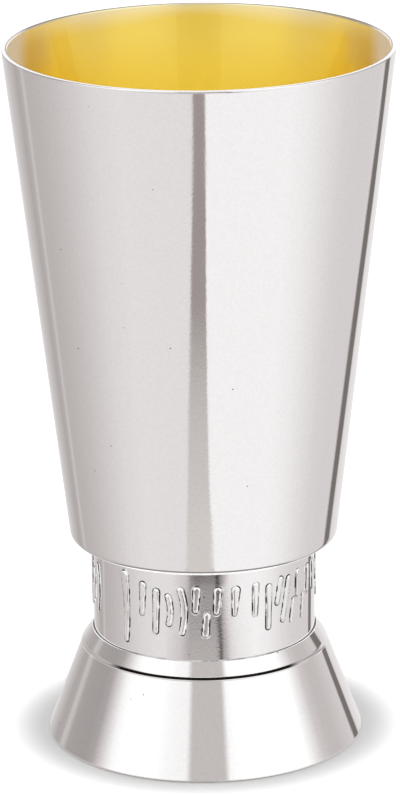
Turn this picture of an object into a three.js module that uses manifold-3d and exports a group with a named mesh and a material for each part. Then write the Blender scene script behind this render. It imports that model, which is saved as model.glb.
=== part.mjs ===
// Kiddush cup: a tall, tapering silver beaker on a short plain neck band and a flared, hollow foot.
// The neck band carries a row of shallow raised strokes, and the inside of the beaker is gilt.
// Millimetres, +Z up. The origin is the centre of the circle on which the foot stands.
//
// Three spun or rolled pieces, one on top of the other, soldered face to face in the real cup:
//   foot              a hollow cone, open below, with a chamfered collar and a fine bead under it
//   inscription_band  a plain tube with raised strokes round its outside
//   bowl              a flat-bottomed tapering beaker with a slightly thickened lip

import * as THREE from "three";
import { mergeVertices } from "three/addons/utils/BufferGeometryUtils.js";
import Module from "manifold-3d";

const wasm = await Module();
wasm.setup();

// ---- Driving dimensions -----------------------------------------------------------------------

const HEIGHT = 120;
const RIM_RADIUS = 32.6;
const FOOT_RADIUS = 27;

// Bowl
const BOWL_BASE_Z = 35.1; // the flat underside
const BOWL_TAPER = 0.1173; // radius gained for each millimetre of height
const BOWL_CORNER_RADIUS = 1.3; // outside, between the underside and the side
const BOWL_WALL = 0.9;
const BOWL_FLOOR = 1.1;
const BOWL_INNER_CORNER_RADIUS = 2.2;
const LIP_THICKNESS = 1; // the wall swells to this just below the rim
const LIP_SWELL_HEIGHT = 5; // over this height
const LIP_OUTER_EDGE = 0.2; // rounding of the lip's crisp outer edge
const LIP_INNER_EDGE = 0.35; // rounding of its softer inner edge

// Band
const BAND_RADIUS = 18.9;
const BAND_WALL = 1;
const BAND_BASE_Z = 18.8;

// Foot
const FOOT_WALL = 1;
const FOOT_TOP_RADIUS = 19.26; // stands a little proud of the band
const FOOT_EDGE_RADIUS = 0.4; // the softened outer edge that the cup stands on
const FOOT_RIM_WIDTH = 1.6; // the flat ring that touches the table
const FOOT_RIM_HEIGHT = 1.2;
const FOOT_FLANGE = 1.1; // thickness of the ring that the band stands on
const COLLAR_BASE = { radius: 20.69, z: 16.54 };
const CONE_TOP = { radius: 21.06, z: 15.94 };
const BEAD_PROUD = 0.18; // how far the bead between those two swells out

// Raised strokes
const MARKS_ROUND = 24; // places in the row, the gaps between its words counted
const ROW_BASE_Z = 23.6; // foot of an ordinary stroke
const ROW_HEIGHT = 7.8;
const STROKE_RELIEF = 0.3;
const STROKE_WIDTH = 1;
const STROKE_EMBED = 0.4; // how far a stroke's root goes into the tube
const STROKE_DRAFT = 0.12; // each flank leans in by this much towards the top

const ROUND_SEGMENTS = 88;
const CORNER_STEPS = 4;

// ---- Profiles and turned solids ---------------------------------------------------------------

// Points of an arc in a profile, from one angle to the other, in degrees from the outward direction.
function arc(centreRadius, centreZ, radius, fromDegrees, toDegrees, steps = CORNER_STEPS) {
  return Array.from({ length: steps + 1 }, (_, i) => {
    const angle = THREE.MathUtils.degToRad(
      THREE.MathUtils.lerp(fromDegrees, toDegrees, i / steps),
    );
    return new THREE.Vector2(
      centreRadius + radius * Math.cos(angle),
      centreZ + radius * Math.sin(angle),
    );
  });
}

// Points of a low bead that swells out between two points of a profile, both left out.
function bead(start, end, proud, steps = CORNER_STEPS) {
  return Array.from({ length: steps - 1 }, (_, i) => {
    const t = (i + 1) / steps;
    return new THREE.Vector2(
      THREE.MathUtils.lerp(start.radius, end.radius, t) + proud * Math.sin(Math.PI * t),
      THREE.MathUtils.lerp(start.z, end.z, t),
    );
  });
}

// A solid of revolution about Z. The profile runs up the outside and comes back down the inside.
function turned(profile) {
  const geometry = new THREE.LatheGeometry(profile, ROUND_SEGMENTS);
  return geometry.rotateX(Math.PI / 2);
}

const point = (radius, z) => new THREE.Vector2(radius, z);
const outsideRadius = (z) => RIM_RADIUS - BOWL_TAPER * (HEIGHT - z);
const taperDegrees = THREE.MathUtils.radToDeg(Math.atan(BOWL_TAPER));

// Centre of a corner arc that touches a floor at floorZ and a tapering side given by sideRadius(z).
function cornerCentre(floorZ, radius, sideRadius) {
  const z = floorZ + radius;
  const setBack = radius / Math.cos(THREE.MathUtils.degToRad(taperDegrees));
  return { radius: sideRadius(z) - setBack, z };
}

function bowlProfile() {
  const outer = cornerCentre(BOWL_BASE_Z, BOWL_CORNER_RADIUS, outsideRadius);
  const insideRadius = (z) => outsideRadius(z) - BOWL_WALL;
  const floorZ = BOWL_BASE_Z + BOWL_FLOOR;
  const inner = cornerCentre(floorZ, BOWL_INNER_CORNER_RADIUS, insideRadius);
  const outerEdgeZ = HEIGHT - LIP_OUTER_EDGE;
  const outerEdgeRadius = outsideRadius(outerEdgeZ) - LIP_OUTER_EDGE;
  const innerEdgeZ = HEIGHT - LIP_INNER_EDGE;
  const innerEdgeRadius = outsideRadius(innerEdgeZ) - LIP_THICKNESS + LIP_INNER_EDGE;
  const swellZ = HEIGHT - LIP_SWELL_HEIGHT;
  return [
    point(0, BOWL_BASE_Z),
    ...arc(outer.radius, outer.z, BOWL_CORNER_RADIUS, -90, -taperDegrees),
    ...arc(outerEdgeRadius, outerEdgeZ, LIP_OUTER_EDGE, -taperDegrees, 90, 3),
    ...arc(innerEdgeRadius, innerEdgeZ, LIP_INNER_EDGE, 90, 180, 3),
    point(insideRadius(swellZ), swellZ),
    ...arc(inner.radius, inner.z, BOWL_INNER_CORNER_RADIUS, -taperDegrees, -90),
    point(0, floorZ),
  ];
}

function footProfile() {
  const coneSlope = (FOOT_RADIUS - CONE_TOP.radius) / CONE_TOP.z;
  const coneDegrees = THREE.MathUtils.radToDeg(Math.atan(coneSlope));
  const wallAcross = FOOT_WALL / Math.cos(Math.atan(coneSlope));
  const coneInside = (z) => FOOT_RADIUS - coneSlope * z - wallAcross;
  const edgeRadius = FOOT_RADIUS - coneSlope * FOOT_EDGE_RADIUS - FOOT_EDGE_RADIUS;
  const flangeZ = BAND_BASE_Z - FOOT_FLANGE;
  const boreRadius = BAND_RADIUS - BAND_WALL;
  return [
    point(FOOT_RADIUS - FOOT_RIM_WIDTH, 0),
    ...arc(edgeRadius, FOOT_EDGE_RADIUS, FOOT_EDGE_RADIUS, -90, coneDegrees),
    point(CONE_TOP.radius, CONE_TOP.z),
    ...bead(CONE_TOP, COLLAR_BASE, BEAD_PROUD),
    point(COLLAR_BASE.radius, COLLAR_BASE.z),
    point(FOOT_TOP_RADIUS, BAND_BASE_Z),
    point(boreRadius, BAND_BASE_Z),
    point(boreRadius, flangeZ),
    point(coneInside(flangeZ), flangeZ),
    point(coneInside(FOOT_RIM_HEIGHT), FOOT_RIM_HEIGHT),
    point(FOOT_RADIUS - FOOT_RIM_WIDTH, 0),
  ];
}

function bandProfile() {
  const inside = BAND_RADIUS - BAND_WALL;
  return [
    point(inside, BAND_BASE_Z),
    point(BAND_RADIUS, BAND_BASE_Z),
    point(BAND_RADIUS, BOWL_BASE_Z),
    point(inside, BOWL_BASE_Z),
    point(inside, BAND_BASE_Z),
  ];
}

// ---- Raised strokes ---------------------------------------------------------------------------

// A stroke runs from its foot to its head, in shares of a place's width and of the row's height.
// width is a share of STROKE_WIDTH at the foot and the head, and bow is its sideways swell.
const stroke = (foot, head, width = [1, 1], bow = 0) => ({ foot, head, width, bow });

// Plain groups of loose strokes that spell nothing: each one stands apart from the next.
const GROUPS = {
  twins: [
    stroke([0.2, 0.36], [0.24, 1], [0.8, 1.1]),
    stroke([0.72, 0], [0.76, 0.9], [0.9, 1.1]),
  ],
  bows: [
    stroke([0.2, 0.2], [0.18, 0.82], [0.8, 0.9], 0.14),
    stroke([0.66, 0.02], [0.62, 0.98], [0.9, 1], 0.14),
  ],
  rakes: [
    stroke([0.1, 0.5], [0.28, 1], [0.8, 1]),
    stroke([0.36, 0.08], [0.66, 0.96], [0.9, 1.1]),
    stroke([0.8, 0], [0.92, 0.42], [0.9, 1]),
  ],
  trio: [
    stroke([0.12, 0.54], [0.18, 1], [0.9, 1.2]),
    stroke([0.46, 0], [0.52, 0.44], [1.1, 0.9]),
    stroke([0.84, 0.5], [0.9, 0.98], [0.9, 1.2]),
  ],
  drop: [stroke([0.46, 0.42], [0.52, 0.96], [0.6, 1.3])],
  spear: [stroke([0.52, -0.34], [0.46, 1.12], [0.8, 1.5], 0.05)],
};

// One half of the row, read from right to left as it is seen. The other half repeats it.
const ROW = [
  "rakes", "twins", "drop", "trio", "bows", "twins", "spear",
  null, "bows", "rakes", "drop", "trio",
];
const ROW_START_DEGREES = 46; // where the first place stands, measured from the front

const PLACE_WIDTH = (2 * Math.PI * BAND_RADIUS) / MARKS_ROUND;

// A closed bar along the stroke, first laid flat: x along the band, y up and z away from its face.
function flatBar({ foot, head, width, bow }) {
  const start = new THREE.Vector2(foot[0] * PLACE_WIDTH, foot[1] * ROW_HEIGHT);
  const end = new THREE.Vector2(head[0] * PLACE_WIDTH, head[1] * ROW_HEIGHT);
  const along = end.clone().sub(start);
  const across = new THREE.Vector2(-along.y, along.x).normalize();
  const middle = start.clone().lerp(end, 0.5).addScaledVector(across, -bow * along.length());
  const line = new THREE.QuadraticBezierCurve(start, middle, end);
  const steps = bow ? 4 : 2;
  const outlineAt = (inset) => {
    const left = [];
    const right = [];
    for (let i = 0; i <= steps; i += 1) {
      const t = i / steps;
      const centre = line.getPoint(t);
      const direction = line.getTangent(t);
      const half = (STROKE_WIDTH * THREE.MathUtils.lerp(width[0], width[1], t)) / 2 - inset;
      const side = new THREE.Vector2(-direction.y, direction.x);
      if (i === 0) left.push(centre.clone().addScaledVector(direction, -half));
      left.push(centre.clone().addScaledVector(side, half));
      right.unshift(centre.clone().addScaledVector(side, -half));
      if (i === steps) left.push(centre.clone().addScaledVector(direction, half));
    }
    return [...left, ...right];
  };
  const root = outlineAt(0);
  const top = outlineAt(STROKE_DRAFT);
  const caps = THREE.ShapeUtils.triangulateShape(top, []);
  const turn = THREE.ShapeUtils.isClockWise(root) ? -1 : 1;
  const vertices = [
    ...root.map((p) => new THREE.Vector3(p.x, p.y, -STROKE_EMBED)),
    ...top.map((p) => new THREE.Vector3(p.x, p.y, STROKE_RELIEF)),
  ];
  const count = root.length;
  const faces = [];
  const addFace = (a, b, c) => faces.push(turn > 0 ? [a, b, c] : [a, c, b]);
  for (let i = 0; i < count; i += 1) {
    const next = (i + 1) % count;
    addFace(i, next, count + next);
    addFace(i, count + next, count + i);
  }
  for (const [a, b, c] of caps) {
    faces.push([count + a, count + b, count + c]);
    faces.push([a, c, b]);
  }
  return { vertices, faces };
}

// Wraps a flat bar round the band, with the left edge of its place at the given angle.
function wrapped({ vertices, faces }, startDegrees) {
  const start = THREE.MathUtils.degToRad(startDegrees);
  const positions = vertices.flatMap(({ x, y, z }) => {
    const angle = start + x / BAND_RADIUS;
    const radius = BAND_RADIUS + z;
    return [radius * Math.cos(angle), radius * Math.sin(angle), ROW_BASE_Z + y];
  });
  return new THREE.BufferGeometry()
    .setAttribute("position", new THREE.Float32BufferAttribute(positions, 3))
    .setIndex(faces.flat());
}

function strokeGeometries() {
  const placeDegrees = 360 / MARKS_ROUND;
  const frontDegrees = -90;
  const geometries = [];
  for (let place = 0; place < MARKS_ROUND; place += 1) {
    const group = ROW[place % ROW.length];
    if (!group) continue;
    const centre = frontDegrees + ROW_START_DEGREES - place * placeDegrees;
    for (const one of GROUPS[group]) {
      geometries.push(wrapped(flatBar(one), centre - placeDegrees / 2));
    }
  }
  return geometries;
}

// ---- Joining ----------------------------------------------------------------------------------

function toSolid(geometry) {
  const bare = geometry.index ? geometry.toNonIndexed() : geometry.clone();
  bare.deleteAttribute("normal");
  bare.deleteAttribute("uv");
  const merged = mergeVertices(bare, 1e-4);
  return new wasm.Manifold(
    new wasm.Mesh({
      numProp: 3,
      vertProperties: merged.attributes.position.array,
      triVerts: new Uint32Array(merged.index.array),
    }),
  );
}

function toGeometry(solid) {
  const { vertProperties, triVerts, numProp } = solid.getMesh();
  if (numProp !== 3) throw new Error("a joined solid carries more than positions");
  const geometry = new THREE.BufferGeometry();
  geometry.setAttribute("position", new THREE.BufferAttribute(vertProperties, 3));
  geometry.setIndex(new THREE.BufferAttribute(triVerts, 1));
  geometry.computeVertexNormals();
  return geometry;
}

function bandGeometry() {
  let solid = toSolid(turned(bandProfile()));
  for (const bar of strokeGeometries()) solid = solid.add(toSolid(bar));
  return toGeometry(solid);
}

// ---- The cup ----------------------------------------------------------------------------------

const polishedSilver = () =>
  new THREE.MeshStandardMaterial({ color: 0xe4e2df, metalness: 1, roughness: 0.12 });

const cup = new THREE.Group();
const pieces = {
  foot: turned(footProfile()),
  inscription_band: bandGeometry(),
  bowl: turned(bowlProfile()),
};
for (const [name, geometry] of Object.entries(pieces)) {
  const mesh = new THREE.Mesh(geometry, polishedSilver());
  mesh.name = name;
  cup.add(mesh);
}

export default cup;
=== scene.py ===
"""Builds the looks of a silver kiddush cup round its packed construction model.

Three pieces are modelled: the spun bowl with its gilt inside, the neck band with its row of
raised strokes, and the hollow foot with its collar and bead. A stage operator adds the floor,
the light tent, the lamp and the camera.
"""

import math

import bpy
import numpy as np
from bpy.props import FloatProperty, FloatVectorProperty, IntProperty, PointerProperty
from mathutils import Matrix, Vector


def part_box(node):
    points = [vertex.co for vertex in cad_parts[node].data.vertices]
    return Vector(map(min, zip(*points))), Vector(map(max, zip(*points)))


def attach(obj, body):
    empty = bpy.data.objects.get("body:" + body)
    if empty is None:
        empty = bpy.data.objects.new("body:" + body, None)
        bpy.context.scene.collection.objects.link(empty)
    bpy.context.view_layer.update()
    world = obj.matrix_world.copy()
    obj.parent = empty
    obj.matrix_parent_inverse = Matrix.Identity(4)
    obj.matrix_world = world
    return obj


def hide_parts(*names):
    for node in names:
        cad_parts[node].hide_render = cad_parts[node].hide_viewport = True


bl_info = {
    "name": "Kiddush cup",
    "version": (1, 0, 0),
    "blender": (4, 5, 0),
    "location": "View3D > Sidebar > Cup",
    "description": "Models a polished silver cup with a gilt inside",
    "category": "Object",
}

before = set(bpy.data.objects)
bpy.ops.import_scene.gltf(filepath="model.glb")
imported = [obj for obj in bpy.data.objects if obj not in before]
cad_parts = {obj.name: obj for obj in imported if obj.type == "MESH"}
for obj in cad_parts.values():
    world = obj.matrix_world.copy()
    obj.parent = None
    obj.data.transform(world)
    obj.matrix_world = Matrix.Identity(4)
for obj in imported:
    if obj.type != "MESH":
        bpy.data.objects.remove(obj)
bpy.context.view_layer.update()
BOWL_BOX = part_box("bowl")
BAND_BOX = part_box("inscription_band")
FOOT_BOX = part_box("foot")

MM = 0.001
BODY = "root"
AXIS = (0.0, 0.0, 1.0)
CENTRE = (0.0, 0.0, 0.0)
MERGE_DISTANCE = 1e-3 * MM
ROUND_SEGMENTS = 288  # round the bowl and the foot
BAND_SEGMENTS = 800  # round the band, close enough together for its strokes
CORNER_STEPS = 12
EDGE_STEPS = 10
FLAT_STEP = 4 * MM  # between the points of a flat stretch
FLAT_MARGIN = 0.3 * MM  # from a flat stretch's last point to the corner, to hold the shading flat
ROW_STEP = 0.15 * MM  # between the band's points where strokes stand
BAND_STEP = 0.5 * MM  # and where none stand
SMOOTH_DEGREES = 32  # edges sharper than this stay sharp

POLISH = 0.045  # roughness of polished silver
SATIN = 0.42  # roughness of silver that was never polished
GILT_SATIN = 0.29  # roughness of the plated gold
# In the crease under the collar this dark matt line is painted shade.
TARNISH_MATT = 0.35  # roughness of the sulphide in a crease
WAVE_SIZE = 22 * MM  # the spinning tool's waves
WAVE_HEIGHT = 0.03 * MM
GRAIN_SIZE = 0.4 * MM  # the polishing cloth's grain
GRAIN_HEIGHT = 0.002 * MM
SMUDGE_SIZE = 9 * MM
CLOUD_SIZE = 0.45 * MM
CLOUD_DEPTH = 0.045  # how far the clouding goes toward the stain's colour
PIT_SPACING = 2.5 * MM
PIT_RARITY = 0.86  # share of the places that have no pit
CHASED_DEPTH = 0.12 * MM  # of the groove that the chasing tool left round a stroke


# ---- Sizes and colours a user would change ----------------------------------------------------


def length(name, description, default_mm):
    """A length property whose default is given in millimetres."""
    return FloatProperty(
        name=name, description=description, default=default_mm * MM, min=0.0, unit="LENGTH", precision=5
    )


def colour(name, description, hex_code):
    """A colour property whose default is given as an sRGB hex code."""
    return FloatVectorProperty(
        name=name, description=description, default=linear(hex_code), size=4, min=0.0, max=1.0,
        subtype="COLOR",
    )


def linear(hex_code):
    """The linear colour, with alpha, of an sRGB hex code such as "e4e2df"."""
    channels = []
    for start in (0, 2, 4):
        value = int(hex_code[start : start + 2], 16) / 255
        channels.append(value / 12.92 if value <= 0.04045 else ((value + 0.055) / 1.055) ** 2.4)
    return (*channels, 1.0)


class CupBowl(bpy.types.PropertyGroup):
    """Sizes of the spun bowl."""

    rim_radius: length("Rim radius", "Radius that the outer side would reach at the rim", 32.6)
    wall: length("Wall", "Thickness of the side", 0.9)
    floor: length("Floor", "Thickness of the flat bottom", 1.1)
    lip: length("Lip", "Thickness of the lip", 1.0)
    swell: length("Swell", "Height over which the side thickens into the lip", 5.0)
    lip_outer: length("Outer lip edge", "Rounding of the lip's outer edge", 0.2)
    lip_inner: length("Inner lip edge", "Rounding of the lip's inner edge", 0.35)
    corner: length("Outer corner", "Radius between the bottom and the side, outside", 1.3)
    inner_corner: length("Inner corner", "Radius between the bottom and the side, inside", 2.2)
    taper: FloatProperty(
        name="Taper", description="Radius gained for each unit of height", default=0.1173, min=0.0
    )


class CupBand(bpy.types.PropertyGroup):
    """Sizes of the neck band and its row of strokes."""

    radius: length("Radius", "Outside radius between the strokes", 18.9)
    wall: length("Wall", "Thickness of the tube", 1.0)
    row_base: length("Row base", "Height of the foot of an ordinary stroke", 23.6)
    row_height: length("Row height", "Height of an ordinary stroke", 7.8)
    stroke: length("Stroke width", "Width of a stroke", 1.0)
    relief: length("Relief", "How far the strokes stand out", 0.3)
    flank: length("Flank", "Width of a stroke's rounded edge", 0.42)
    places: IntProperty(name="Places", description="Places round the row, gaps included", default=24)


class CupFoot(bpy.types.PropertyGroup):
    """Sizes of the spun foot."""

    radius: length("Radius", "Radius of the standing edge", 27.0)
    edge: length("Edge", "Rounding of the standing edge", 0.4)
    ring: length("Ring", "Width of the flat ring that touches the table", 1.6)
    ring_height: length("Ring height", "Height of the thickened standing ring", 1.2)
    wall: length("Wall", "Thickness of the cone", 1.0)
    flange: length("Flange", "Thickness of the ring under the band", 1.1)
    top_radius: length("Top radius", "Radius of the collar's upper edge", 19.26)
    collar_radius: length("Collar radius", "Radius of the collar's lower edge", 20.69)
    collar_base: length("Collar base", "Height of the collar's lower edge", 16.54)
    cone_top_radius: length("Cone radius", "Radius of the cone's upper edge", 21.06)
    cone_top: length("Cone top", "Height of the cone's upper edge", 15.94)
    bead: length("Bead", "How far the bead under the collar swells out", 0.18)


class CupFinish(bpy.types.PropertyGroup):
    """Colours of the metals."""

    silver: colour("Silver", "Polished sterling silver", "fbfafa")
    gilding: colour("Gilding", "Pale gold plated over the silver inside the bowl", "f5e48a")
    # Painted reflection: the deeper gold of the upright stripes inside the bowl.
    gilding_deep: colour("Deep gilding", "The same gold where it was burnished deeper", "efdb7c")
    # Painted shade: the greyer gold at the two sides of the back, inside the bowl.
    gilding_dull: colour("Dull gilding", "Duller, greyer gold where wiping has worn it", "e0d1c4")
    # Painted haze: the pale colour laid over the gilding at its two far sides.
    film: colour("Film", "Pale dried film on the plating at the sides", "faf3ee")
    bloom: colour("Bloom", "Silver left as it came from the pickle, inside the foot", "e9e6df")
    # Black of the sulphide in pits and at the solder seam, also used as painted shade at the strokes' roots
    # and in the crease under the collar.
    tarnish: colour("Tarnish", "Black sulphide left in the creases", "1c1815")
    # Brown for the clouding and the fine line along the lip, and painted shade on the band under the bowl.
    stain: colour("Stain", "Brown film of tarnish under the bowl and round the lip", "6b5f5a")


# ---- Profiles and turned meshes ---------------------------------------------------------------


def arc(centre, radius, from_degrees, to_degrees, steps):
    """Points of an arc in a profile, with angles measured from the outward direction."""
    points = []
    for step in range(steps + 1):
        angle = math.radians(from_degrees + (to_degrees - from_degrees) * step / steps)
        points.append((centre[0] + radius * math.cos(angle), centre[1] + radius * math.sin(angle)))
    return points


def straight(start, end, steps):
    """The inner points of a straight stretch, close together at its ends to hold the shading flat."""
    shares = [0.5 - 0.5 * math.cos(math.pi * step / steps) for step in range(1, steps)]
    return [
        (start[0] + (end[0] - start[0]) * share, start[1] + (end[1] - start[1]) * share)
        for share in shares
    ]


def filled(start, end, step):
    """A straight stretch with both its ends, in parts of about a step's length."""
    return [start, *straight(start, end, max(1, round(math.dist(start, end) / step))), end]


def select_none():
    """Deselects every object."""
    bpy.ops.object.select_all(action="DESELECT")


def select_only(piece):
    """Selects one object and makes it the active one."""
    select_none()
    piece.select_set(True)
    bpy.context.view_layer.objects.active = piece


def turned(name, profile, segments):
    """Draws a profile of (radius, height) points by extruding a vertex and spins it round the axis."""
    select_none()
    bpy.ops.mesh.primitive_plane_add(size=MM, location=CENTRE)
    piece = bpy.context.object
    piece.name = name
    piece.data.name = name
    bpy.ops.object.mode_set(mode="EDIT")
    bpy.ops.mesh.select_mode(type="VERT")
    bpy.ops.mesh.select_all(action="SELECT")
    bpy.ops.mesh.merge(type="CENTER")
    bpy.ops.transform.translate(value=(profile[0][0], 0.0, profile[0][1]))
    for (radius, height), (next_radius, next_height) in zip(profile, profile[1:]):
        step = (next_radius - radius, 0.0, next_height - height)
        bpy.ops.mesh.extrude_region_move(TRANSFORM_OT_translate={"value": step})
    bpy.ops.mesh.select_all(action="SELECT")
    bpy.ops.mesh.spin(steps=segments, angle=math.tau, center=CENTRE, axis=AXIS)
    bpy.ops.mesh.select_all(action="SELECT")
    bpy.ops.mesh.remove_doubles(threshold=MERGE_DISTANCE)
    bpy.ops.mesh.normals_make_consistent(inside=False)
    bpy.ops.object.mode_set(mode="OBJECT")
    return piece


def assign(piece, material, chosen):
    """Adds a material and gives it the faces whose (centre, normal) pass the test."""
    select_only(piece)
    piece.data.materials.append(material)
    piece.active_material_index = len(piece.data.materials) - 1
    bpy.ops.object.mode_set(mode="EDIT")
    bpy.ops.mesh.select_mode(type="FACE")
    bpy.ops.mesh.select_all(action="DESELECT")
    bpy.ops.object.mode_set(mode="OBJECT")
    for face in piece.data.polygons:
        face.select = chosen(face.center, face.normal)
    bpy.ops.object.mode_set(mode="EDIT")
    bpy.ops.object.material_slot_assign()
    bpy.ops.object.mode_set(mode="OBJECT")


def everywhere(centre, normal):
    """A test for assign that every face passes."""
    return True


def radial(centre, normal):
    """Positive where a face looks away from the cup's axis, negative where it looks toward it."""
    return centre.x * normal.x + centre.y * normal.y


def finish_piece(piece, node):
    """Smooths a piece but for its real edges and hangs it on the frame in place of its CAD node."""
    select_only(piece)
    bpy.ops.object.shade_smooth_by_angle(angle=math.radians(SMOOTH_DEGREES))
    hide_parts(node)
    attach(piece, BODY)


# ---- Materials --------------------------------------------------------------------------------


def add(tree, kind, settings=None, values=None, links=None):
    """Adds a node with its settings, socket values and incoming links."""
    node = tree.nodes.new(kind)
    for key, value in (settings or {}).items():
        setattr(node, key, value)
    for key, value in (values or {}).items():
        node.inputs[key].default_value = value
    for key, socket in (links or {}).items():
        tree.links.new(socket, node.inputs[key])
    return node


def maths(tree, operation, *operands):
    """A Math node's result. Each operand is a number or a socket."""
    values = {place: operand for place, operand in enumerate(operands) if isinstance(operand, (int, float))}
    links = {place: operand for place, operand in enumerate(operands) if place not in values}
    return add(tree, "ShaderNodeMath", {"operation": operation}, values, links).outputs["Value"]


def remap(tree, value, start, end, first=0.0, last=1.0, easing="SMOOTHSTEP"):
    """Takes a value from start..end to first..last, and holds it beyond them."""
    limits = {"From Min": start, "From Max": end, "To Min": first, "To Max": last}
    return add(
        tree, "ShaderNodeMapRange", {"interpolation_type": easing}, limits, {"Value": value}
    ).outputs["Result"]


def between(tree, value, low, high, soft):
    """1 between two limits, each a number or a socket, with edges that are soft for a width."""
    rise = remap(tree, maths(tree, "SUBTRACT", value, low), -soft / 2, soft / 2)
    drop = remap(tree, maths(tree, "SUBTRACT", high, value), -soft / 2, soft / 2)
    return maths(tree, "MULTIPLY", rise, drop)


def split(tree, vector):
    """The x, y and z of a vector."""
    return add(tree, "ShaderNodeSeparateXYZ", links={"Vector": vector}).outputs


def noise(tree, coordinates, size, detail=2.0, roughness=0.5):
    """Noise from 0 to 1, in lumps of about a size."""
    return add(
        tree, "ShaderNodeTexNoise", values={"Scale": 1 / size, "Detail": detail, "Roughness": roughness},
        links={"Vector": coordinates},
    ).outputs["Fac"]


def bump(tree, height, distance, normal=None):
    """The normal of a relief whose height of 1 is a distance, laid over another normal if one is given."""
    links = {"Height": height}
    if normal is not None:
        links["Normal"] = normal
    return add(tree, "ShaderNodeBump", values={"Distance": distance}, links=links).outputs["Normal"]


def over(tree, below, above, mask):
    """Lays a colour, or a socket's colours, over those of another socket where the mask is 1."""
    mix = add(tree, "ShaderNodeMix", {"data_type": "RGBA"}, links={0: mask, 6: below})
    if isinstance(above, tuple):
        mix.inputs[7].default_value = above
    else:
        tree.links.new(above, mix.inputs[7])
    return mix.outputs[2]


def plain(tree, colour_value):
    """A socket that gives one colour."""
    node = add(tree, "ShaderNodeRGB")
    node.outputs["Color"].default_value = colour_value
    return node.outputs["Color"]


def ramp(tree, value, stops):
    """Colours along a value, from stops of (value, colour) in rising order."""
    start, end = stops[0][0], stops[-1][0]
    share = remap(tree, value, start, end, easing="LINEAR")
    node = add(tree, "ShaderNodeValToRGB", links={"Fac": share})
    elements = node.color_ramp.elements
    elements[0].position = 0.0
    elements[1].position = 1.0
    for place, _ in stops[1:-1]:
        elements.new((place - start) / (end - start))
    for element, (_, tone) in zip(elements, stops):
        element.color = tone
    return node.outputs["Color"]


def new_metal(name, roughness):
    """A metal with its shader, and the tree and object coordinates to work on."""
    material = bpy.data.materials.new(name)
    material.use_nodes = True
    tree = material.node_tree
    shader = tree.nodes["Principled BSDF"]
    shader.inputs["Metallic"].default_value = 1.0
    shader.inputs["Roughness"].default_value = roughness
    coordinates = add(tree, "ShaderNodeTexCoord").outputs["Object"]
    return material, tree, shader, coordinates


def hand_polish(tree, coordinates, shader, roughness):
    """Faint waves from spinning, a fine grain from the polishing cloth and smudges in the gloss."""
    smudges = noise(tree, coordinates, SMUDGE_SIZE, 4.0)
    gloss = remap(tree, smudges, 0.3, 0.75, roughness * 0.7, roughness * 1.5)
    tree.links.new(gloss, shader.inputs["Roughness"])
    wavy = bump(tree, noise(tree, coordinates, WAVE_SIZE, 1.0), WAVE_HEIGHT)
    surface = bump(tree, noise(tree, coordinates, GRAIN_SIZE, 2.0, 0.6), GRAIN_HEIGHT, wavy)
    tree.links.new(surface, shader.inputs["Normal"])


def silver_material(finish):
    """Sterling silver, polished on the lathe: a near mirror, faintly clouded, with a few dark pits."""
    material, tree, shader, coordinates = new_metal("Polished sterling silver", POLISH)
    hand_polish(tree, coordinates, shader, POLISH)
    cloud = remap(tree, noise(tree, coordinates, CLOUD_SIZE), 0.35, 0.7, 0.0, CLOUD_DEPTH)
    tone = over(tree, plain(tree, tuple(finish.silver)), tuple(finish.stain), cloud)
    cells = add(
        tree, "ShaderNodeTexVoronoi", values={"Scale": 1 / PIT_SPACING}, links={"Vector": coordinates}
    )
    pit = remap(tree, cells.outputs["Distance"], 0.03, 0.06, 1.0, 0.0)
    luck = add(tree, "ShaderNodeSeparateColor", links={"Color": cells.outputs["Color"]}).outputs["Red"]
    pits = maths(tree, "MULTIPLY", pit, maths(tree, "GREATER_THAN", luck, PIT_RARITY))
    tone = over(tree, tone, tuple(finish.tarnish), pits)
    tree.links.new(tone, shader.inputs["Base Color"])
    return material


# Upright stripes of painted reflection in the gilding, a shade deeper: the angle from the back of the cup
# to a stripe's middle and half its width, in degrees, how far it leans, in degrees for each metre of depth,
# and how much deeper it is.
GILT_PANELS = (
    (0.0, 7.0, 0.0, 0.6),
    (-50.0, 3.8, 345.0, 0.8),
    (57.5, 4.1, -720.0, 0.8),
)


def panelled_gilding(tree, finish, x, y, depth):
    """The colour of the gilding, with its painted reflection stripes, at a depth below the rim."""
    tone = plain(tree, tuple(finish.gilding))
    degrees = maths(tree, "DEGREES", maths(tree, "ARCTAN2", x, y))
    for middle, half, lean, amount in GILT_PANELS:
        turn = maths(tree, "SUBTRACT", degrees, maths(tree, "MULTIPLY_ADD", depth, lean, middle))
        panel = maths(tree, "MULTIPLY", between(tree, turn, -half, half, 1.0), amount)
        tone = over(tree, tone, tuple(finish.gilding_deep), panel)
    return tone


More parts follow.
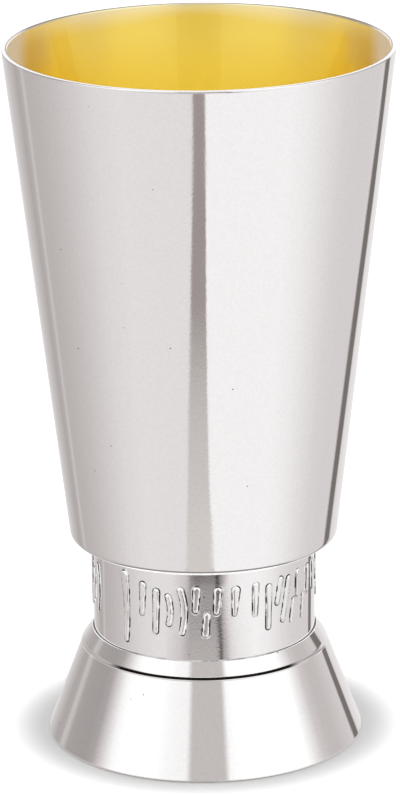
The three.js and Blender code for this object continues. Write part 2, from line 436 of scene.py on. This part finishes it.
def gilt_material(finish, rim):
    """Gold electroplated over silver: satiny, with painted reflection stripes, painted shade and painted
    haze at the back's two sides, and thinning toward the lip.
    """
    material, tree, shader, coordinates = new_metal("Gilded silver", GILT_SATIN)
    x, y, z = split(tree, coordinates)
    side = maths(tree, "ABSOLUTE", x)
    depth = maths(tree, "SUBTRACT", rim, z)
    tone = panelled_gilding(tree, finish, x, y, depth)
    # Painted shade: the gold is greyer and darker at the two sides of the back, down to 6 to 10 mm below
    # the rim.
    upper = remap(tree, depth, 6 * MM, 10 * MM, 1.0, 0.0)
    upper = maths(tree, "MULTIPLY", upper, remap(tree, y, -3 * MM, 1 * MM))
    dull = maths(tree, "MULTIPLY", remap(tree, side, 23.5 * MM, 27 * MM, 0.0, 0.85), upper)
    tone = over(tree, tone, tuple(finish.gilding_dull), dull)
    # It thins out to bare silver over a few millimetres below the lip; its further reach at the sides is
    # painted haze.
    reach = remap(tree, side, 2 * MM, 14 * MM, 2.4 * MM, 3.8 * MM)
    bare = maths(tree, "SUBTRACT", 1.0, maths(tree, "DIVIDE", depth, reach))
    thin = maths(tree, "POWER", maths(tree, "MAXIMUM", bare, 0.0), 1.5)
    thin = maths(tree, "MULTIPLY", thin, remap(tree, depth, 0.1 * MM, 0.6 * MM, 0.4, 1.0))
    tone = over(tree, tone, tuple(finish.silver), thin)
    # Painted haze: a pale coat, not a metal, at the far sides, over the strongest painted shade.
    film = maths(tree, "MULTIPLY", remap(tree, side, 28.0 * MM, 30.8 * MM, 0.0, 0.9), upper)
    tone = over(tree, tone, tuple(finish.film), film)
    tree.links.new(maths(tree, "SUBTRACT", 1.0, film), shader.inputs["Metallic"])
    # A fine brown line runs along the top of the lip.
    line = remap(tree, depth, 0.03 * MM, 0.09 * MM, 0.85, 0.0)
    tone = over(tree, tone, tuple(finish.stain), line)
    tree.links.new(tone, shader.inputs["Base Color"])
    return material


def bloom_material(finish):
    """Silver that was pickled and brushed but never polished: soft, whitish and satiny."""
    material, tree, shader, coordinates = new_metal("Pickled silver", SATIN)
    hand_polish(tree, coordinates, shader, SATIN)
    shader.inputs["Base Color"].default_value = tuple(finish.bloom)
    return material


def crease_material(finish, name, rubbed):
    """Silver with a black line in a crease, which is sulphide at the solder seam and painted shade under
    the collar. The function passed in gives where the line is not.
    """
    material, tree, shader, coordinates = new_metal(name, TARNISH_MATT)
    clean = rubbed(tree, coordinates)
    tone = over(tree, plain(tree, tuple(finish.tarnish)), tuple(finish.silver), clean)
    tree.links.new(tone, shader.inputs["Base Color"])
    tree.links.new(remap(tree, clean, 0.0, 1.0, TARNISH_MATT, POLISH), shader.inputs["Roughness"])
    return material


# ---- Bowl -------------------------------------------------------------------------------------


def bowl_profile(sizes):
    """The beaker's section, from the middle of the underside over the lip to the middle inside."""
    base = BOWL_BOX[0][2]
    rim = BOWL_BOX[1][2]
    lean = math.degrees(math.atan(sizes.taper))

    def outside(height):
        return sizes.rim_radius - sizes.taper * (rim - height)

    def inside(height):
        return outside(height) - sizes.wall

    def corner(floor, radius, side):
        height = floor + radius
        return side(height) - radius / math.cos(math.radians(lean)), height

    floor = base + sizes.floor
    outer = corner(base, sizes.corner, outside)
    inner = corner(floor, sizes.inner_corner, inside)
    edge_base = rim - sizes.lip_outer
    outer_edge = (outside(edge_base) - sizes.lip_outer, edge_base)
    inner_base = rim - sizes.lip_inner
    inner_edge = (outside(inner_base) - sizes.lip + sizes.lip_inner, inner_base)
    swell = rim - sizes.swell
    thickening = []
    for step in range(1, CORNER_STEPS):
        share = step / CORNER_STEPS
        height = inner_base + (swell - inner_base) * share
        thickening.append((inside(height) - (sizes.lip - sizes.wall) * (1 - share) ** 2, height))
    return [
        (0.0, base),
        *filled((outer[0] * 0.5, base), (outer[0] - FLAT_MARGIN, base), FLAT_STEP),
        *arc(outer, sizes.corner, -90, -lean, CORNER_STEPS),
        *straight((outside(outer[1]), outer[1]), (outside(edge_base), edge_base), 24),
        *arc(outer_edge, sizes.lip_outer, -lean, 90, EDGE_STEPS),
        *arc(inner_edge, sizes.lip_inner, 90, 180, CORNER_STEPS),
        *thickening,
        (inside(swell), swell),
        *straight((inside(swell), swell), (inside(inner[1]), inner[1]), 20),
        *arc(inner, sizes.inner_corner, -lean, -90, CORNER_STEPS),
        *filled((inner[0] - FLAT_MARGIN, floor), (inner[0] * 0.5, floor), FLAT_STEP),
        (0.0, floor),
    ]


class CUP_OT_bowl(bpy.types.Operator):
    """Spin the tapering bowl, silver outside and gilt inside"""

    bl_idname = "cup.bowl"
    bl_label = "Bowl"

    def execute(self, context):
        sizes = context.scene.cup_bowl
        finish = context.scene.cup_finish
        piece = turned("silver_bowl", bowl_profile(sizes), ROUND_SEGMENTS)
        rim = BOWL_BOX[1][2]
        assign(piece, silver_material(finish), everywhere)

        def inside(centre, normal):
            return radial(centre, normal) < -1e-9 or (normal.z > 0.5 and centre.z < rim - sizes.lip)

        assign(piece, gilt_material(finish, rim), inside)
        finish_piece(piece, "bowl")
        return {"FINISHED"}


# ---- Neck band --------------------------------------------------------------------------------


def stroke(foot, head, width=(1.0, 1.0), bow=0.0):
    """A stroke from its foot to its head, in shares of a place's width and of the row's height."""
    return {"foot": foot, "head": head, "width": width, "bow": bow}


# Groups of loose strokes that spell nothing, as the solid band has them.
GROUPS = {
    "twins": [
        stroke((0.2, 0.36), (0.24, 1), (0.8, 1.1)),
        stroke((0.72, 0), (0.76, 0.9), (0.9, 1.1)),
    ],
    "bows": [
        stroke((0.2, 0.2), (0.18, 0.82), (0.8, 0.9), 0.14),
        stroke((0.66, 0.02), (0.62, 0.98), (0.9, 1), 0.14),
    ],
    "rakes": [
        stroke((0.1, 0.5), (0.28, 1), (0.8, 1)),
        stroke((0.36, 0.08), (0.66, 0.96), (0.9, 1.1)),
        stroke((0.8, 0), (0.92, 0.42), (0.9, 1)),
    ],
    "trio": [
        stroke((0.12, 0.54), (0.18, 1), (0.9, 1.2)),
        stroke((0.46, 0), (0.52, 0.44), (1.1, 0.9)),
        stroke((0.84, 0.5), (0.9, 0.98), (0.9, 1.2)),
    ],
    "drop": [stroke((0.46, 0.42), (0.52, 0.96), (0.6, 1.3))],
    "spear": [stroke((0.52, -0.34), (0.46, 1.12), (0.8, 1.5), 0.05)],
}
ROW = ["rakes", "twins", "drop", "trio", "bows", "twins", "spear", None, "bows", "rakes", "drop", "trio"]
ROW_START_DEGREES = 46
ROW_REACH = (-0.4, 1.2)  # from the lowest stroke to the highest, in shares of the row's height
FRONT_DEGREES = -90
ROUNDING_OUTSIDE = 0.4  # share of a stroke's rounded edge that lies outside its outline


def band_profile(sizes):
    """The tube's section, with close rows of points where the strokes stand."""
    base = BAND_BOX[0][2]
    top = BAND_BOX[1][2]
    inner = sizes.radius - sizes.wall
    row_low = sizes.row_base + ROW_REACH[0] * sizes.row_height
    row_high = sizes.row_base + ROW_REACH[1] * sizes.row_height
    return [
        *filled((sizes.radius, base), (sizes.radius, row_low), BAND_STEP),
        *filled((sizes.radius, row_low), (sizes.radius, row_high), ROW_STEP)[1:],
        *filled((sizes.radius, row_high), (sizes.radius, top), BAND_STEP)[1:],
        *filled((inner, top), (inner, base), FLAT_STEP),
        (sizes.radius, base),
    ]


def stroke_line(one, start_angle, place_angle, sizes, steps=10):
    """Points (angle, height, half width) along a stroke that begins at an angle round the band."""
    place = place_angle * sizes.radius
    foot = Vector((one["foot"][0] * place, one["foot"][1] * sizes.row_height))
    head = Vector((one["head"][0] * place, one["head"][1] * sizes.row_height))
    along = head - foot
    across = Vector((-along.y, along.x)).normalized()
    middle = (foot + head) / 2 - across * one["bow"] * along.length
    points = []
    for step in range(steps + 1):
        t = step / steps
        point = foot * (1 - t) ** 2 + middle * 2 * t * (1 - t) + head * t * t
        half = sizes.stroke * (one["width"][0] * (1 - t) + one["width"][1] * t) / 2
        points.append((start_angle + point.x / sizes.radius, sizes.row_base + point.y, half))
    return points


def row_lines(sizes):
    """The lines of all the strokes round the band."""
    place_angle = math.tau / sizes.places
    lines = []
    for place in range(sizes.places):
        group = ROW[place % len(ROW)]
        if group is None:
            continue
        centre = math.radians(FRONT_DEGREES + ROW_START_DEGREES) - place * place_angle
        for one in GROUPS[group]:
            lines.append(stroke_line(one, centre - place_angle / 2, place_angle, sizes))
    return lines


def edge_distance(positions, sizes):
    """For each vertex, how far it lies inside the nearest stroke's edge; negative is outside."""
    angle = np.arctan2(positions[:, 1], positions[:, 0])
    depth = np.full(len(positions), -1.0)
    for line in row_lines(sizes):
        middle = line[len(line) // 2][0]
        turn = (angle - middle + math.pi) % math.tau - math.pi
        for (a_turn, a_z, a_half), (b_turn, b_z, b_half) in zip(line, line[1:]):
            ax = (a_turn - middle) * sizes.radius
            bx = (b_turn - middle) * sizes.radius
            step = np.array((bx - ax, b_z - a_z))
            offset = np.stack((turn * sizes.radius - ax, positions[:, 2] - a_z), axis=1)
            share = np.clip(offset @ step / (step @ step), 0, 1)
            away = np.hypot(*(offset - share[:, None] * step).T)
            depth = np.maximum(depth, a_half + (b_half - a_half) * share - away)
    return depth


def raise_strokes(piece, sizes):
    """Raises the strokes with a Displace modifier and keeps each point's distance from their edges."""
    count = len(piece.data.vertices)
    positions = np.empty(count * 3)
    piece.data.vertices.foreach_get("co", positions)
    positions = positions.reshape(count, 3)
    outside = np.hypot(positions[:, 0], positions[:, 1]) > sizes.radius - sizes.wall / 2
    depth = edge_distance(positions, sizes)
    share = np.clip(depth / sizes.flank + ROUNDING_OUTSIDE, 0, 1)
    height = share * share * (3 - 2 * share) * outside
    group = piece.vertex_groups.new(name="strokes")
    for index in np.nonzero(height > 0)[0]:
        group.add([int(index)], float(height[index]), "REPLACE")
    select_only(piece)
    bpy.ops.object.modifier_add(type="DISPLACE")
    displace = piece.modifiers[-1]
    displace.vertex_group = group.name
    displace.mid_level = 0.0
    displace.strength = sizes.relief
    bpy.ops.object.modifier_apply(modifier=displace.name)
    piece.vertex_groups.clear()
    layer = piece.data.attributes.new("inset", "FLOAT", "POINT")
    layer.data.foreach_set("value", np.where(outside, depth, -1.0).astype(np.float32))


def band_material(finish):
    """The same polished silver, with crisp chased edges, painted shade at the strokes' roots and painted
    shade at the front under the bowl.
    """
    material = silver_material(finish)
    material.name = "Chased sterling silver"
    tree = material.node_tree
    shader = tree.nodes["Principled BSDF"]
    coordinates = add(tree, "ShaderNodeTexCoord").outputs["Object"]
    inset = add(tree, "ShaderNodeAttribute", {"attribute_name": "inset"}).outputs["Fac"]
    polished_tone = shader.inputs["Base Color"].links[0].from_socket
    polished_normal = shader.inputs["Normal"].links[0].from_socket
    # Painted shade at the strokes' roots, broken up in patches.
    patches = noise(tree, coordinates, 1.6 * MM)
    root = between(tree, inset, -0.2 * MM, 0.02 * MM, 0.12 * MM)
    amount = maths(tree, "MULTIPLY", root, remap(tree, patches, 0.38, 0.56, 0.3, 1.0))
    tone = over(tree, polished_tone, tuple(finish.tarnish), amount)
    # Painted shade: a brown darkening at the front, under the bowl, with a ragged lower edge.
    x, y, z = split(tree, coordinates)
    front = maths(tree, "LESS_THAN", y, 0.0)
    front = maths(tree, "MULTIPLY", front, between(tree, x, -1.9 * MM, 3.7 * MM, 1.2 * MM))
    top = BAND_BOX[1][2]
    height = maths(tree, "MULTIPLY_ADD", patches, 3.0 * MM, z)
    stain = maths(tree, "MULTIPLY", front, remap(tree, height, top - 2.2 * MM, top + 0.8 * MM, 0.0, 0.4))
    tone = over(tree, tone, tuple(finish.stain), stain)
    tree.links.new(tone, shader.inputs["Base Color"])
    edge = remap(tree, inset, -0.12 * MM, 0.16 * MM)
    tree.links.new(bump(tree, edge, CHASED_DEPTH, polished_normal), shader.inputs["Normal"])
    return material


class CUP_OT_band(bpy.types.Operator):
    """Spin the neck band and raise its row of strokes"""

    bl_idname = "cup.band"
    bl_label = "Neck band"

    def execute(self, context):
        sizes = context.scene.cup_band
        piece = turned("chased_band", band_profile(sizes), BAND_SEGMENTS)
        raise_strokes(piece, sizes)
        assign(piece, band_material(context.scene.cup_finish), everywhere)
        finish_piece(piece, "inscription_band")
        return {"FINISHED"}


# ---- Foot -------------------------------------------------------------------------------------


def foot_profile(sizes, bore):
    """The foot's section, up the outside from the standing ring and down the inside."""
    top = FOOT_BOX[1][2]
    slope = (sizes.radius - sizes.cone_top_radius) / sizes.cone_top
    lean = math.degrees(math.atan(slope))
    edge_centre = (sizes.radius - slope * sizes.edge - sizes.edge, sizes.edge)
    across = sizes.wall / math.cos(math.radians(lean))
    flange_base = top - sizes.flange

    def inside(height):
        return sizes.radius - slope * height - across

    edge = arc(edge_centre, sizes.edge, -90, lean, 8)
    cone_end = (sizes.cone_top_radius, sizes.cone_top)
    collar_start = (sizes.collar_radius, sizes.collar_base)
    bead = []
    for step in range(1, EDGE_STEPS):
        t = step / EDGE_STEPS
        bead.append(
            (
                cone_end[0] + (collar_start[0] - cone_end[0]) * t + sizes.bead * math.sin(math.pi * t),
                cone_end[1] + (collar_start[1] - cone_end[1]) * t,
            )
        )
    return [
        (sizes.radius - sizes.ring, 0.0),
        *edge,
        *straight(edge[-1], cone_end, 14),
        cone_end,
        *bead,
        collar_start,
        *straight(collar_start, (sizes.top_radius, top), 6),
        (sizes.top_radius, top),
        (bore, top),
        (bore, flange_base),
        (inside(flange_base), flange_base),
        *straight((inside(flange_base), flange_base), (inside(sizes.ring_height), sizes.ring_height), 8),
        (inside(sizes.ring_height), sizes.ring_height),
        (sizes.radius - sizes.ring, 0.0),
    ]


def solder_seam_material(finish, band_radius):
    """The collar's flat top: tarnished solder close round the band, and clean silver beyond it."""

    def beyond_solder(tree, place):
        x, y, _ = split(tree, place)
        side = maths(tree, "ABSOLUTE", x)
        away = maths(tree, "SQRT", maths(tree, "MULTIPLY_ADD", x, x, maths(tree, "MULTIPLY", y, y)))
        width = remap(tree, side, 8 * MM, 17 * MM, 0.4 * MM, 0.22 * MM)
        edge = maths(tree, "SUBTRACT", maths(tree, "SUBTRACT", away, band_radius), width)
        # The front and the back are worn cleaner than the sides, in patches.
        worn = remap(tree, side, 9 * MM, 14 * MM, 0.45, 0.1)
        patches = noise(tree, place, 1.5 * MM)
        worn = maths(tree, "MULTIPLY", worn, remap(tree, patches, 0.4, 0.55, 0.5, 1.0))
        return maths(tree, "MAXIMUM", remap(tree, edge, -0.03 * MM, 0.03 * MM), worn)

    return crease_material(finish, "Tarnished solder seam", beyond_solder)


def collar_crease_material(finish, sizes):
    """The bead under the collar: painted shade as a black line in the crease at the front and the back,
    left out at the sides, and plain silver below it.
    """
    line_base = sizes.collar_base - 0.36 * MM

    def below_or_beside(tree, place):
        x, _, z = split(tree, place)
        beside = remap(tree, maths(tree, "ABSOLUTE", x), 14 * MM, 16.5 * MM)
        below = remap(tree, z, line_base - 0.03 * MM, line_base + 0.03 * MM, 1.0, 0.0)
        return maths(tree, "MAXIMUM", beside, below)

    return crease_material(finish, "Tarnished crease", below_or_beside)


class CUP_OT_foot(bpy.types.Operator):
    """Spin the hollow foot with its collar and bead"""

    bl_idname = "cup.foot"
    bl_label = "Foot"

    def execute(self, context):
        sizes = context.scene.cup_foot
        finish = context.scene.cup_finish
        band = context.scene.cup_band
        top = FOOT_BOX[1][2]
        piece = turned("spun_foot", foot_profile(sizes, band.radius - band.wall), ROUND_SEGMENTS)

        def inside(centre, normal):
            return centre.z > 0.1 * MM and (radial(centre, normal) < 0 or normal.z < -0.5)

        def flat_top(centre, normal):
            return centre.z > top - 0.01 * MM

        def under_collar(centre, normal):
            return sizes.cone_top < centre.z < sizes.collar_base and radial(centre, normal) > 0

        assign(piece, silver_material(finish), everywhere)
        assign(piece, bloom_material(finish), inside)
        assign(piece, solder_seam_material(finish, band.radius), flat_top)
        assign(piece, collar_crease_material(finish, sizes), under_collar)
        finish_piece(piece, "foot")
        return {"FINISHED"}


# ---- Stage ------------------------------------------------------------------------------------


CAMERA_PLACE = (-0.39 * MM, -713.94 * MM, 285.12 * MM)
CAMERA_PITCH_DEGREES = 17.565
CAMERA_ROLL_DEGREES = -0.583
CAMERA_LENS = 200.96
FLOOR_SIZE = 4.0  # metres, so that its edges stay out of view

# The light tent's brightness all round, by azimuth in degrees: 0 is the front and 90 the cup's right.
# The wall's comes first, and then that of the table inside the tent.
TENT_WALL = [
    (-180, 1.05), (-166, 0.95), (-157, 0.62), (-146, 0.48), (-137, 0.42), (-131, 0.44), (-128, 0.58),
    (-124, 0.56), (-120, 0.41), (-112, 0.385), (-98, 0.375), (-90, 0.42), (-82, 0.70), (-74, 0.98),
    (-66, 1.10), (-40, 1.10), (-30, 1.0), (-14, 0.95), (16, 1.0), (28, 1.10), (78, 1.10), (86, 0.86),
    (94, 0.64), (102, 0.56), (112, 0.56), (122, 0.62), (150, 0.76), (166, 1.0), (180, 1.05),
]
TENT_FLOOR = [
    (-180, 0.88), (-166, 0.74), (-156, 0.62), (-146, 0.53), (-138, 0.44), (-132.5, 0.48),
    (-129.3, 0.61), (-126, 0.50), (-116, 0.515), (-100, 0.57), (-85, 0.65), (-68, 0.74), (-50, 0.785),
    (-1, 0.775), (1, 0.935), (56, 0.935), (70, 0.89), (84, 0.80), (100, 0.71), (114, 0.685),
    (134, 0.68), (152, 0.78), (180, 0.90),
]
# Where the tent's front meets the table: the dark opening with its darker right edge, from left
# to right, by the sideways part of the direction.
TENT_SILL = [
    (-0.6, 0.785), (-0.49, 0.70), (-0.37, 0.63), (-0.31, 0.54), (-0.27, 0.50), (0.17, 0.50), (0.22, 0.40),
    (0.232, 0.12), (0.266, 0.12), (0.28, 0.38), (0.33, 0.46), (0.39, 0.73), (0.5, 0.85), (0.7, 0.93),
]
# The dark opening's image in the table, by the downward part of the direction.
OPENING_IMAGE = [
    (-0.54, (0.655, 0.625, 0.60, 1.0)), (-0.5225, (0.578, 0.55, 0.53, 1.0)),
    (-0.511, (0.515, 0.485, 0.467, 1.0)), (-0.507, (0.48, 0.45, 0.43, 1.0)),
    (-0.5035, (0.40, 0.37, 0.35, 1.0)), (-0.495, (0.345, 0.30, 0.29, 1.0)),
]
TABLE_EDGE = -0.41  # where the table begins, by the downward part of the direction
SILL_TOP = -0.2
SILL_BEND = (-0.342, -0.3555)  # over this the sill spreads out and its dusk fades in
OPENING = (0.56, 0.53, 0.515, 1.0)
SEAM = (0.19, 0.17, 0.16, 1.0)
TENT_ROOF = (1.12, 1.12, 1.12, 1.0)
MOUTH_LIGHT = (1.35, 1.35, 1.35, 1.0)  # reaches the inside of the bowl after some bounces
SHADE_LIGHT = (0.77, 0.77, 0.77, 1.0)  # fills the shadow on the table

LAMP_HEIGHT = 1.2
LAMP_TILT_DEGREES = 0.6
LAMP_SPREAD_DEGREES = 4.6
LAMP_STRENGTH = 2.3
PAPER = (0.9, 0.9, 0.9, 1.0)
PAPER_MATT = 0.9


def cloth(brightness):
    """The tent's colour at a brightness: white cloth, a little warmer where it is darker."""
    dark = min(0.5, max(0.0, 1.0 - brightness))
    return (brightness, brightness * (1 - 0.14 * dark), brightness * (1 - 0.16 * dark), 1.0)


def cloths(stops):
    """Ramp stops of colours from stops of brightness."""
    return [(place, cloth(brightness)) for place, brightness in stops]


def tent_front(tree, tent, front, x, z):
    """Lays the opening that the camera looks through, and the sill below it, over the tent."""
    high = maths(tree, "MULTIPLY", front, between(tree, z, SILL_TOP, 0.88, 0.06))
    tent = over(tree, tent, OPENING, maths(tree, "MULTIPLY", high, between(tree, x, -0.21, 0.26, 0.09)))
    sill = maths(tree, "MULTIPLY", front, between(tree, z, TABLE_EDGE, SILL_TOP, 0.03))
    sill = maths(tree, "MULTIPLY", sill, between(tree, x, -0.62, 0.72, 0.04))
    across = maths(tree, "DIVIDE", x, remap(tree, z, *SILL_BEND, 0.84, 1.12, "LINEAR"))
    tent = over(tree, tent, ramp(tree, across, cloths(TENT_SILL)), sill)
    dusk = remap(tree, z, *reversed(SILL_BEND), 0.0, 0.45, "LINEAR")
    dusk = maths(tree, "MULTIPLY", dusk, between(tree, across, -0.29, 0.31, 0.06))
    return over(tree, tent, cloth(0.04), maths(tree, "MULTIPLY", sill, dusk))


def tent_opening_image(tree, tent, front, x, z):
    """Lays the opening's image in the table over the tent: wider and lighter toward the cup."""
    near = maths(tree, "POWER", remap(tree, z, -0.455, -0.55, easing="LINEAR"), 1.4)
    left = maths(tree, "MULTIPLY_ADD", near, -0.18, -0.06)
    nearer = maths(tree, "POWER", remap(tree, z, -0.495, -0.547, easing="LINEAR"), 3.0)
    right = maths(tree, "MULTIPLY_ADD", nearer, 0.083, 0.052)
    image = maths(tree, "MULTIPLY", front, between(tree, z, -2.0, TABLE_EDGE, 0.03))
    image = maths(tree, "MULTIPLY", image, between(tree, x, left, right, 0.016))
    return over(tree, tent, ramp(tree, z, OPENING_IMAGE), image)


def tent_seam(tree, tent, azimuth, z):
    """Lays the dark seam behind the cup, to the right, and its image in the table over the tent."""
    seam_high = remap(tree, z, -0.15, 0.2, 140.0, 133.0, "LINEAR")
    seam_low = remap(tree, z, -0.42, -0.31, 135.0, 147.0, "LINEAR")
    for middle, heights in (
        (seam_high, between(tree, z, -0.23, 2.0, 0.02)),
        (seam_low, between(tree, z, -2.0, -0.23, 0.02)),
    ):
        turn = maths(tree, "SUBTRACT", azimuth, middle)
        seam = maths(tree, "MULTIPLY", between(tree, turn, -4.5, 4.5, 3.0), heights)
        tent = over(tree, tent, SEAM, seam)
    return tent


def tent_colours(tree, direction):
    """The light tent as the metal sees it, by direction."""
    x, y, z = split(tree, direction)
    azimuth = maths(tree, "DEGREES", maths(tree, "ARCTAN2", x, maths(tree, "MULTIPLY", y, -1.0)))
    front = between(tree, y, -2.0, 0.0, 0.05)
    wall = ramp(tree, azimuth, cloths(TENT_WALL))
    tent = over(tree, ramp(tree, azimuth, cloths(TENT_FLOOR)), wall, remap(tree, z, -0.22, -0.04))
    tent = tent_front(tree, tent, front, x, z)
    tent = tent_opening_image(tree, tent, front, x, z)
    tent = tent_seam(tree, tent, azimuth, z)
    # The dark room over the back of the tent.
    back = remap(tree, maths(tree, "ABSOLUTE", azimuth), 125.0, 145.0)
    back = maths(tree, "MULTIPLY", back, between(tree, z, 0.38, 0.85, 0.1))
    tent = over(tree, tent, cloth(0.5), back)
    # The cup's own shade on the table, which the undersides see, and the tent's bright roof.
    tent = over(tree, tent, cloth(0.3), remap(tree, z, -0.72, -0.82))
    return over(tree, tent, TENT_ROOF, remap(tree, z, 0.84, 0.92))


def make_world():
    """Clean white behind the cup, and the light tent as the metal sees it."""
    world = bpy.data.worlds.new("Light tent")
    bpy.context.scene.world = world
    world.use_nodes = True
    world.cycles.sampling_method = "NONE"
    tree = world.node_tree
    tree.nodes.clear()
    tent = tent_colours(tree, add(tree, "ShaderNodeTexCoord").outputs["Generated"])
    # Light that bounces about inside the bowl comes in through its mouth, from the tent's roof.
    path = add(tree, "ShaderNodeLightPath")
    bounced = maths(tree, "GREATER_THAN", path.outputs["Glossy Depth"], 1.5)
    shown = over(tree, tent, MOUTH_LIGHT, bounced)
    shown = over(tree, shown, SHADE_LIGHT, path.outputs["Is Diffuse Ray"])
    shown = over(tree, shown, TENT_ROOF, path.outputs["Is Camera Ray"])
    background = add(tree, "ShaderNodeBackground", links={"Color": shown})
    add(tree, "ShaderNodeOutputWorld", links={"Surface": background.outputs["Background"]})


def make_floor():
    """A matt white table that takes the shadow, left out of the reflections."""
    select_none()
    bpy.ops.mesh.primitive_plane_add(size=FLOOR_SIZE, location=CENTRE)
    floor = bpy.context.object
    floor.name = "table"
    material = bpy.data.materials.new("White paper")
    material.use_nodes = True
    shader = material.node_tree.nodes["Principled BSDF"]
    shader.inputs["Base Color"].default_value = PAPER
    shader.inputs["Roughness"].default_value = PAPER_MATT
    shader.inputs["Specular IOR Level"].default_value = 0.0
    floor.data.materials.append(material)
    floor.visible_glossy = False


def make_lamp():
    """A soft light from nearly straight above, which gives the bowl's round shadow on the table."""
    select_none()
    bpy.ops.object.light_add(type="SUN", location=(0.0, 0.0, LAMP_HEIGHT))
    lamp = bpy.context.object
    lamp.name = "overhead_lamp"
    lamp.rotation_euler = (math.radians(LAMP_TILT_DEGREES), 0.0, 0.0)
    lamp.data.angle = math.radians(LAMP_SPREAD_DEGREES)
    lamp.data.energy = LAMP_STRENGTH
    lamp.visible_glossy = False


def make_camera():
    """The camera, looking slightly down at the cup."""
    select_none()
    bpy.ops.object.camera_add(location=CAMERA_PLACE)
    camera = bpy.context.object
    camera.name = "camera"
    tilt = Matrix.Rotation(math.radians(90 - CAMERA_PITCH_DEGREES), 4, "X")
    roll = Matrix.Rotation(math.radians(CAMERA_ROLL_DEGREES), 4, "Z")
    camera.rotation_euler = (tilt @ roll).to_euler()
    camera.data.lens = CAMERA_LENS
    camera.data.sensor_width = 36.0
    camera.data.clip_start = 0.01
    camera.data.clip_end = 20.0
    bpy.context.scene.camera = camera


class CUP_OT_stage(bpy.types.Operator):
    """Add the table, the light tent, the lamp and the camera"""

    bl_idname = "cup.stage"
    bl_label = "Stage"

    def execute(self, context):
        context.scene.view_settings.view_transform = "Standard"
        context.scene.cycles.glossy_bounces = context.scene.cycles.max_bounces
        make_world()
        make_floor()
        make_lamp()
        make_camera()
        return {"FINISHED"}


# ---- Add-on -----------------------------------------------------------------------------------


class CUP_PT_panel(bpy.types.Panel):
    """Lists the cup's pieces with their sizes and colours"""

    bl_idname = "CUP_PT_panel"
    bl_label = "Kiddush cup"
    bl_space_type = "VIEW_3D"
    bl_region_type = "UI"
    bl_category = "Cup"

    def draw(self, context):
        groups = (
            ("cup.bowl", context.scene.cup_bowl),
            ("cup.band", context.scene.cup_band),
            ("cup.foot", context.scene.cup_foot),
            ("cup.stage", context.scene.cup_finish),
        )
        for operator, group in groups:
            box = self.layout.box()
            box.operator(operator)
            for key in group.bl_rna.properties.keys():
                if key not in {"rna_type", "name"}:
                    box.prop(group, key)


GROUP_CLASSES = {
    "cup_bowl": CupBowl,
    "cup_band": CupBand,
    "cup_foot": CupFoot,
    "cup_finish": CupFinish,
}
OPERATORS = (CUP_OT_bowl, CUP_OT_band, CUP_OT_foot, CUP_OT_stage)


def register():
    """Registers the classes and puts the settings on the scene."""
    for name, group in GROUP_CLASSES.items():
        bpy.utils.register_class(group)
        setattr(bpy.types.Scene, name, PointerProperty(type=group))
    for operator in OPERATORS:
        bpy.utils.register_class(operator)
    bpy.utils.register_class(CUP_PT_panel)


def unregister():
    """Takes away what register added."""
    bpy.utils.unregister_class(CUP_PT_panel)
    for operator in reversed(OPERATORS):
        bpy.utils.unregister_class(operator)
    for name, group in GROUP_CLASSES.items():
        delattr(bpy.types.Scene, name)
        bpy.utils.unregister_class(group)


def main():
    """Makes the whole cup and its stage."""
    register()
    bpy.ops.cup.stage()
    bpy.ops.cup.bowl()
    bpy.ops.cup.band()
    bpy.ops.cup.foot()


if __name__ == "__main__":
    main()
